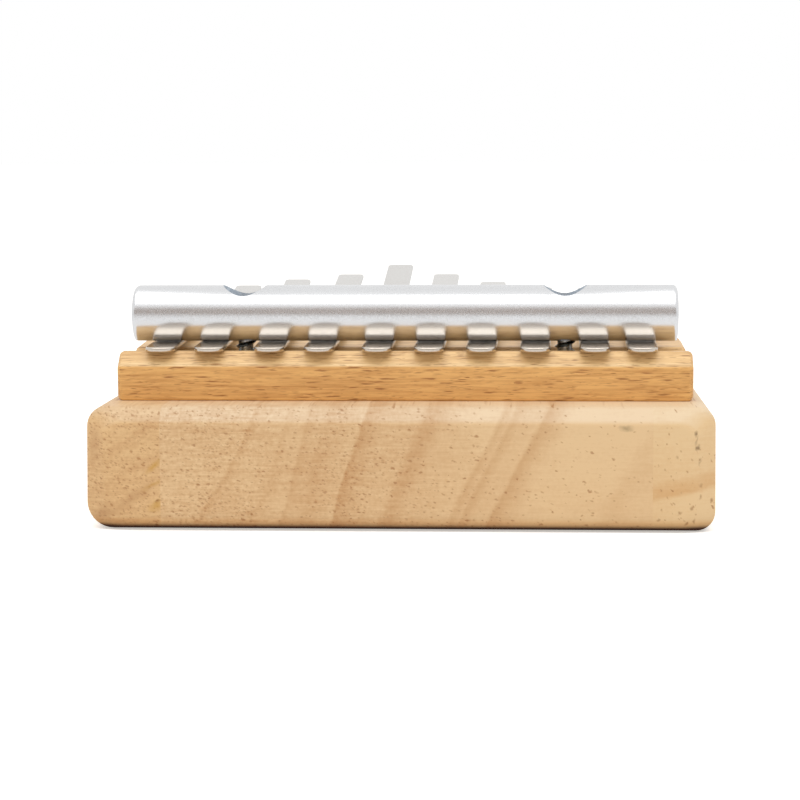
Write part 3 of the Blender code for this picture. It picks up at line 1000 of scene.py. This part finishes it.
@dataclass
class Board:
    """The edge-glued board: three staves of one block with sanded edges.

    Each end ring has its depth from the end and how far the sides, the top and the bottom are
    drawn in there, in mm.
    """

    finishes: Finishes
    top_rounds: Pair = (3.4 * MM, 3.0 * MM)
    bottom_rounds: Pair = (4.4 * MM, 3.1 * MM)
    round_segments: int = 9
    corner_lean: float = 0.145
    corner_flat: float = 2.7 * MM
    end_rings: tuple[tuple[float, float, float, float], ...] = (
        (0.0, 3.32, 2.92, 1.95), (0.05, 2.93, 2.53, 1.52), (0.20, 2.57, 2.17, 1.14),
        (0.44, 2.26, 1.86, 0.84), (1.0, 1.70, 1.30, 0.58), (1.5, 1.20, 0.80, 0.46),
        (1.9, 0.80, 0.43, 0.40), (2.26, 0.44, 0.25, 0.35), (2.57, 0.20, 0.13, 0.31),
        (2.93, 0.05, 0.04, 0.27), (3.32, 0.0, 0.0, 0.23), (4.6, 0.0, 0.0, 0.12), (6.6, 0.0, 0.0, 0.0),
    )

    def build(self) -> None:
        """Make and dress the three staves."""
        left = (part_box("body_stave_left")[1].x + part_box("body_core")[0].x) / 2
        right = (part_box("body_core")[1].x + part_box("body_stave_right")[0].x) / 2
        self.stave("stave_left", None, left, self.finishes.left_stave, "body_stave_left")
        self.stave("stave_core", left, right, self.finishes.core, "body_core")
        self.stave("stave_right", right, None, self.finishes.right_stave, "body_stave_right")

    def outline(self, piece: Piece, size: Vector) -> list[bmesh.types.BMEdge]:
        """Draw the board's cross-section: a rectangle with a round of its own at each corner.

        Args:
            piece: The block.
            size: The board's width, length and thickness.

        Returns:
            The edges of the section, which stands on Y = 0.
        """
        corners = ((-0.5, 0), (0.5, 0), (0.5, 1), (-0.5, 1))
        points = [piece.shape.verts.new((x * size.x, 0.0, z * size.z)) for x, z in corners]
        piece.shape.faces.new(points)
        rounds = (*self.bottom_rounds, *reversed(self.top_rounds))
        for point, width in zip(points, rounds):
            bmesh.ops.bevel(
                piece.shape, geom=[point], offset=width, offset_type="OFFSET", segments=self.round_segments,
                profile=0.5, affect="VERTICES", material=-1,
            )
        return list(piece.shape.edges)

    def block(self, name: str) -> Piece:
        """The whole board with its sanded ends, before it is parted into staves.

        Args:
            name: The piece's name.

        Returns:
            The shaped block.
        """
        piece = Piece(name)
        low = Vector(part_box("body_stave_left")[0])
        high = Vector(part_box("body_stave_right")[1])
        size = high - low
        middle = (low + high) / 2
        rim = self.outline(piece, size)
        verts = list(piece.shape.verts)
        rings = [(low.y, *ring) for ring in self.end_rings]
        rings += [(high.y, -depth, *insets) for depth, *insets in reversed(self.end_rings)]
        last = Matrix.Identity(4)
        drawn = []
        for end, depth, side, top, bottom in rings:
            if drawn:
                made = bmesh.ops.extrude_edge_only(piece.shape, edges=rim)["geom"]
                verts = only(bmesh.types.BMVert, made)
                fresh = set(verts)
                rim = [edge for edge in piece.shape.edges if fresh.issuperset(edge.verts)]
            scale = (1 - 2 * side * MM / size.x, 1, 1 - (top + bottom) * MM / size.z, 1)
            place = Matrix.Translation((middle.x, end + depth * MM, low.z + bottom * MM))
            ring = place @ Matrix.Diagonal(scale)
            bmesh.ops.transform(piece.shape, matrix=ring @ last.inverted(), verts=verts)
            last = ring
            drawn.append((verts, side / self.end_rings[0][1], depth * MM))
        bmesh.ops.contextual_create(piece.shape, geom=rim)
        piece.face_out()
        for verts, share, depth in drawn:
            self.lean_corners(verts, share, depth, middle.z)
        return piece

    def lean_corners(
        self, verts: Iterable[bmesh.types.BMVert], share: float, depth: float, middle: float
    ) -> None:
        """Let the corner flats of one ring grow wider towards the top and die out towards the foot.

        Args:
            verts: The ring.
            share: How far the ring is on the flats, from 0 to 1.
            depth: How far the ring stands in from its end, along Y.
            middle: Half of the board's height.
        """
        for vert in verts:
            lift = self.corner_lean * (vert.co.z - middle)
            vert.co.x -= math.copysign(lift * share, vert.co.x)
            vert.co.y += depth * min(lift / self.corner_flat, 0.0)

    def stave(
        self, name: str, start: float | None, end: float | None, wood: StaveWood, node: str
    ) -> None:
        """Make one stave.

        Args:
            name: The piece's name.
            start: Where the stave's left glue line is, if it has one.
            end: Where its right glue line is, if it has one.
            wood: The stave's wood.
            node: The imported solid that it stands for.
        """
        piece = self.block(name)
        for place, normal in ((start, (-1, 0, 0)), (end, (1, 0, 0))):
            if place is not None:
                piece.plane_off((place, 0, 0), normal)
        piece.face_out()
        piece.dress(wood.material(), "frame", "board_wood", [node])


@dataclass
class Bridge:
    """The beech block: rear rail, trough, ramp and front land."""

    finishes: Finishes
    chamfer_run: float = 2.6 * MM
    chamfer_drop: float = 2.3 * MM
    rear_land: float = 1.2 * MM
    trough_width: float = 13.6 * MM
    trough_depth: float = 1.5 * MM
    trough_slope: float = 6.5 * MM
    trough_batter: float = 0.6 * MM
    ramp_length: float = 9.1 * MM
    ramp_start_drop: float = 0.6 * MM
    front_land_drop: float = 0.2 * MM
    ends: Rounding = Rounding(0.8 * MM, 5, 0.0)
    edges: Rounding = Rounding(0.35 * MM, 3, 20.0)
    groove_diameter: float = 3.4 * MM
    groove_overrun: float = 4 * MM
    groove_facets: int = 40
    hole_diameter: float = 4.1 * MM
    hole_depth: float = 30 * MM
    hole_facets: int = 32

    def build(self) -> None:
        """Make and dress the block."""
        low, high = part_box("bridge")
        low = Vector((low.x, low.y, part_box("body_core")[1].z))
        top = high.z
        land = top - self.front_land_drop
        trough_start = low.y + self.chamfer_run + self.rear_land
        trough_end = trough_start + self.trough_width
        floor = top - self.trough_depth
        outline = (
            (low.y, low.z), (high.y, low.z),
            (high.y, land - self.chamfer_drop), (high.y - self.chamfer_run, land),
            (trough_end + self.ramp_length, land), (trough_end, top - self.ramp_start_drop),
            (trough_end - self.trough_batter, floor), (trough_start + self.trough_slope, floor),
            (trough_start, top), (low.y + self.chamfer_run, top), (low.y, top - self.chamfer_drop),
        )
        piece = Piece("bridge_block")
        corners = [piece.shape.verts.new((low.x, y, z)) for y, z in outline]
        drawn = bmesh.ops.extrude_face_region(piece.shape, geom=[piece.shape.faces.new(corners)])
        moved = only(bmesh.types.BMVert, drawn["geom"])
        bmesh.ops.translate(piece.shape, vec=(high.x - low.x, 0, 0), verts=moved)
        piece.face_out()
        rims = [edge for edge in piece.shape.edges if abs(edge.verts[0].co.x - edge.verts[1].co.x) < MM]
        piece.bevel(rims, self.ends)
        piece.round_edges(self.edges)
        piece.carve(self.cutters(low, high))
        beech = self.finishes.beech.material(top - self.chamfer_drop)
        piece.dress(beech, "frame", "bridge_wood", ["bridge"])

    def cutters(self, low: Vector, high: Vector) -> list[Piece]:
        """Shapes of the rod's groove and of the two screw holes.

        Args:
            low: The block's lowest corner.
            high: The block's highest corner.

        Returns:
            The cutting shapes.
        """
        rod_low, rod_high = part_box("saddle_rod")
        place = Matrix.Translation((rod_low + rod_high) / 2) @ ALONG_X
        length = high.x - low.x + self.groove_overrun
        cutters = [Piece.drill("groove", self.groove_diameter, length, self.groove_facets, place)]
        for side in Side:
            spot, _ = side.screw()
            place = Matrix.Translation((spot.x, spot.y, high.z))
            name = f"hole_{side.label}"
            cutters.append(Piece.drill(name, self.hole_diameter, self.hole_depth, self.hole_facets, place))
        return cutters


@dataclass
class SaddleRod:
    """The bearing rod on the front land."""

    finishes: Finishes
    facets: int = 32
    ends: Rounding = Rounding(0.35 * MM, 3, 60.0)

    def build(self) -> None:
        """Make and dress the rod."""
        low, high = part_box("saddle_rod")
        piece = Piece("saddle")
        piece.rod(low, high, (high.z - low.z) / 2, self.facets, self.ends)
        piece.dress(self.finishes.rod.material(), "frame", "saddle_steel", ["saddle_rod"])


@dataclass
class PressureBar:
    """The round clamping bar with its two counterbores."""

    finishes: Finishes
    facets: int = 96
    ends: Rounding = Rounding(0.9 * MM, 6, 60.0)
    bore_diameter: float = 7.4 * MM
    hole_diameter: float = 4.1 * MM
    drill_length: float = 12 * MM
    drill_facets: int = 64
    seat_gap: float = 0.2 * MM
    head_height: float = 2.5 * MM
    rims: Rounding = Rounding(0.10 * MM, 2, 30.0)
    bore_depth: float = 0.05 * MM

    def build(self) -> None:
        """Make and dress the bar, with the flat along its underside."""
        low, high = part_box("pressure_bar")
        radius = (high.y - low.y) / 2
        piece = Piece("clamp_bar")
        piece.rod(low, high, radius, self.facets, self.ends)
        piece.plane_off(low, (0, 0, -1))
        piece.carve(self.cutters(low.z))
        piece.round_edges(self.rims)
        middle = (low + high) / 2
        reach = (high.x - low.x) / 2 - self.ends.width
        for face in piece.shape.faces:
            spot = face.calc_center_median()
            off_axis = math.hypot(spot.y - middle.y, spot.z - (high.z - radius))
            inside = abs(spot.x - middle.x) < reach and spot.z > low.z + self.rims.width
            face.material_index = int(inside and off_axis < radius - self.bore_depth)
        finish = self.finishes.bar.material()
        bar = piece.dress(finish, "frame", "bar_aluminium", ["pressure_bar"], weighted=False)
        bar.data.materials.append(self.finishes.bore.material())

    def cutters(self, bottom: float) -> list[Piece]:
        """Shapes of the counterbores and of the ways for the screws.

        Args:
            bottom: Height of the bar's underside.

        Returns:
            The cutting shapes.
        """
        cutters = []
        for side in Side:
            spot, top = side.screw()
            seat = top - self.head_height - self.seat_gap
            drills = (("bore", self.bore_diameter, seat), ("way", self.hole_diameter, bottom - MM))
            for label, diameter, start in drills:
                place = Matrix.Translation((spot.x, spot.y, start + self.drill_length / 2))
                name = f"{label}_{side.label}"
                cutters.append(Piece.drill(name, diameter, self.drill_length, self.drill_facets, place))
        return cutters


@dataclass
class ClampScrew:
    """One pan-head wood screw with a cross recess and a coarse thread."""

    side: Side
    facets: int = 40
    head_diameter: float = 6.5 * MM
    head_height: float = 2.5 * MM
    head_edge: float = 1.1 * MM
    crown_steps: int = 8
    edges: Rounding = Rounding(0.15 * MM, 2, 60.0)
    root_diameter: float = 2.5 * MM
    thread_diameter: float = 3.5 * MM
    thread_facets: int = 28
    thread_sink: float = 0.1 * MM
    ridge_half: float = 0.28
    pitch: float = 1.6 * MM
    point: float = 3.0 * MM
    recess_turns: Pair = (20.0, 110.0)
    recess_taper: Triple = (0.45, 0.8, 1.0)
    recess_width: float = 1.0 * MM
    recess_reach: float = 1.9 * MM
    recess_depth: float = 1.4 * MM

    def build(self, finish: bpy.types.Material) -> None:
        """Make and dress the screw.

        Args:
            finish: The plated metal.
        """
        node = f"clamp_screw_{self.side.label}"
        low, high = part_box(node)
        head = self.head_diameter / 2
        root = self.root_diameter / 2
        seat = high.z - self.head_height
        crown = self.head_height - self.head_edge
        arc = [math.pi / 2 * step / self.crown_steps for step in range(self.crown_steps + 1)]
        profile = [(head * math.sin(a), high.z - crown * (1 - math.cos(a))) for a in arc]
        profile += [(head, seat), (root, seat), (root, low.z + self.point), (0.0, low.z)]
        piece = Piece(f"screw_{self.side.label}")
        piece.turned(profile, self.facets)
        piece.round_edges(self.edges)
        piece.carve(self.recess(high.z))
        self.thread(piece, low.z, seat)
        middle = (low + high) / 2
        piece.move(Matrix.Translation((middle.x, middle.y, 0.0)))
        piece.dress(finish, "frame", "screw_zinc", [node])

    def recess(self, top: float) -> list[Piece]:
        """Two crossed wedges for the driver.

        Args:
            top: Height of the head's top.

        Returns:
            The cutting shapes.
        """
        size = (2 * self.recess_reach, self.recess_width, self.recess_depth + MM)
        place = Matrix.LocRotScale((0.0, 0.0, top + (MM - self.recess_depth) / 2), None, size)
        wings = []
        for turn in self.recess_turns:
            wing = Piece(f"wing_{int(turn)}")
            verts = bmesh.ops.create_cube(wing.shape, size=1.0, matrix=place)["verts"]
            bottom = [vert for vert in verts if vert.co.z < top]
            bmesh.ops.scale(wing.shape, vec=self.recess_taper, verts=bottom)
            wing.move(Matrix.Rotation(math.radians(turn), 4, "Z"))
            wings.append(wing)
        return wings

    def thread(self, piece: Piece, tip: float, seat: float) -> None:
        """Wind the thread's ridge round the root.

        Args:
            piece: The screw.
            tip: Height of the point.
            seat: Height under the head.
        """
        root = self.root_diameter / 2 - self.thread_sink
        start = tip + self.point
        half = self.pitch * self.ridge_half
        ridge = [(root, start - half), (self.thread_diameter / 2, start), (root, start + half)]
        corners = [piece.shape.verts.new((radius, 0.0, height)) for radius, height in ridge]
        face = piece.shape.faces.new(corners)
        turns = math.floor((seat - start) / self.pitch - 0.5)
        bmesh.ops.spin(
            piece.shape, geom=[*corners, *face.edges, face], cent=(0, 0, 0), axis=(0, 0, 1),
            dvec=(0, 0, self.pitch / self.thread_facets), angle=math.tau * turns,
            steps=self.thread_facets * turns, use_merge=False,
        )
        piece.face_out()


@dataclass
class TineRack:
    """The ten tines, each a strip with tumbled edges."""

    finishes: Finishes
    notes: tuple[str, ...] = ("d5", "b4", "g4", "e4", "c4", "d4", "f4", "a4", "c5", "e5")
    edges: Rounding = Rounding(0.25 * MM, 4, 50.0)

    def build(self) -> None:
        """Make and dress every tine."""
        steel = self.finishes.tine.material()
        for note in self.notes:
            node = f"tine_{note}"
            piece = Piece.from_node(f"strip_{note}", node)
            piece.round_edges(self.edges)
            piece.dress(steel, node, "tine_steel", [node])


@dataclass
class Studio:
    """White sweep, soft light and the camera at the photograph's place."""

    camera_place: Triple = (20.04 * MM, -406.9 * MM, 60.45 * MM)
    yaw: float = 0.059
    pitch: float = 0.117
    roll: float = 0.005
    focal_pixels: float = 2099.0
    frame_pixels: float = 800.0
    sensor: float = 36.0
    clip_start: float = 0.01
    ambient: float = 0.72
    key_radiance: float = 1.32
    key_size: Pair = (1.9, 1.15)
    key_place: Triple = (0.0, -0.40, 1.1)
    floor_half: float = 12.0
    floor_colour: Colour = (0.90, 0.90, 0.90)
    floor_roughness: float = 0.9
    floor_glow: float = 0.50
    floor_glow_colour: Colour = (1.0, 0.94, 0.87)
    card_width: float = 3.0
    card_span: Pair = (0.07, 0.46)
    card_distance: float = 0.75
    card_colour: Colour = (0.47, 0.40, 0.36)

    def build(self) -> None:
        """Make the floor, the lights and the camera."""
        self.floor()
        self.world()
        self.lights()
        self.card()
        self.camera()
        bpy.context.scene.view_settings.view_transform = "Standard"
        LOG.info("studio ready")

    def panel(self, name: str, half: float, place: Matrix, skin: Surface) -> bpy.types.Object:
        """Make a flat panel.

        Args:
            name: The panel's name.
            half: Half of its side, before it is placed.
            place: Its size, turn and place.
            skin: Its surface.

        Returns:
            The panel's object.
        """
        panel = Piece(name)
        bmesh.ops.create_grid(panel.shape, x_segments=1, y_segments=1, size=half, matrix=place)
        made = panel.placed(name)
        made.data.materials.append(skin.material)
        return made

    def floor(self) -> None:
        """White floor that keeps the contact shadow."""
        skin = Surface("floor_white")
        skin.give("Base Color", (*self.floor_colour, 1.0))
        skin.give("Roughness", self.floor_roughness)
        skin.give("Specular IOR Level", 0.0)
        skin.give("Emission Color", (*self.floor_glow_colour, 1.0))
        camera_ray = skin.node("ShaderNodeLightPath").outputs["Is Camera Ray"]
        skin.give("Emission Strength", skin.times(camera_ray, self.floor_glow))
        floor = self.panel("floor", self.floor_half, Matrix.Identity(4), skin)

    def world(self) -> None:
        """Plain white world, dimmer as a light than as a background."""
        world = bpy.data.worlds.new("studio_white")
        bpy.context.scene.world = world
        world.use_nodes = True
        graph = Graph(world.node_tree)
        background = world.node_tree.nodes["Background"]
        graph.link((1.0, 1.0, 1.0, 1.0), background, "Color")
        path = graph.node("ShaderNodeLightPath").outputs
        seen = graph.math("MAXIMUM", path["Is Camera Ray"], path["Is Glossy Ray"])
        seen = graph.math("MAXIMUM", seen, path["Is Transmission Ray"])
        graph.link(graph.added(seen, 1.0 - self.ambient, self.ambient), background, "Strength")

    def lights(self) -> None:
        """One broad lamp overhead."""
        wide, deep = self.key_size
        lamp = bpy.data.lights.new("key", "AREA")
        lamp.energy = self.key_radiance * math.pi * wide * deep
        lamp.shape = "RECTANGLE"
        lamp.size = wide
        lamp.size_y = deep
        added_object("key", lamp).location = self.key_place

    def card(self) -> None:
        """A dark card beside the camera that only the metal shows."""
        skin = Surface("card_grey")
        skin.give("Base Color", (*self.card_colour, 1.0))
        low, high = self.card_span
        place = Matrix.Translation((0.0, -self.card_distance, (low + high) / 2))
        upright = Matrix.Rotation(math.pi / 2, 4, "X")
        size = Matrix.Diagonal((self.card_width, high - low, 1.0, 1.0))
        card = self.panel("dark_card", 0.5, place @ upright @ size, skin)
        card.visible_camera = False
        card.visible_diffuse = False
        card.visible_shadow = False

    def camera(self) -> None:
        """Camera at the photograph's place and angle."""
        data = bpy.data.cameras.new("photo_camera")
        data.sensor_fit = "HORIZONTAL"
        data.sensor_width = self.sensor
        data.lens = self.focal_pixels / self.frame_pixels * self.sensor
        data.clip_start = self.clip_start
        camera = added_object("photo_camera", data)
        turn = Matrix.Rotation(self.yaw, 4, "Z") @ Matrix.Rotation(math.pi / 2 - self.pitch, 4, "X")
        camera.matrix_world = (
            Matrix.Translation(self.camera_place) @ turn @ Matrix.Rotation(-self.roll, 4, "Z")
        )
        bpy.context.scene.camera = camera


def main() -> None:
    """Build every sub-assembly, then the studio."""
    logging.basicConfig(level=logging.INFO, format="%(name)s: %(message)s")
    finishes = Finishes()
    Board(finishes).build()
    Bridge(finishes).build()
    SaddleRod(finishes).build()
    PressureBar(finishes).build()
    zinc = finishes.zinc.material()
    for side in Side:
        ClampScrew(side).build(zinc)
    TineRack(finishes).build()
    Studio().build()


if __name__ == "__main__":
    main()
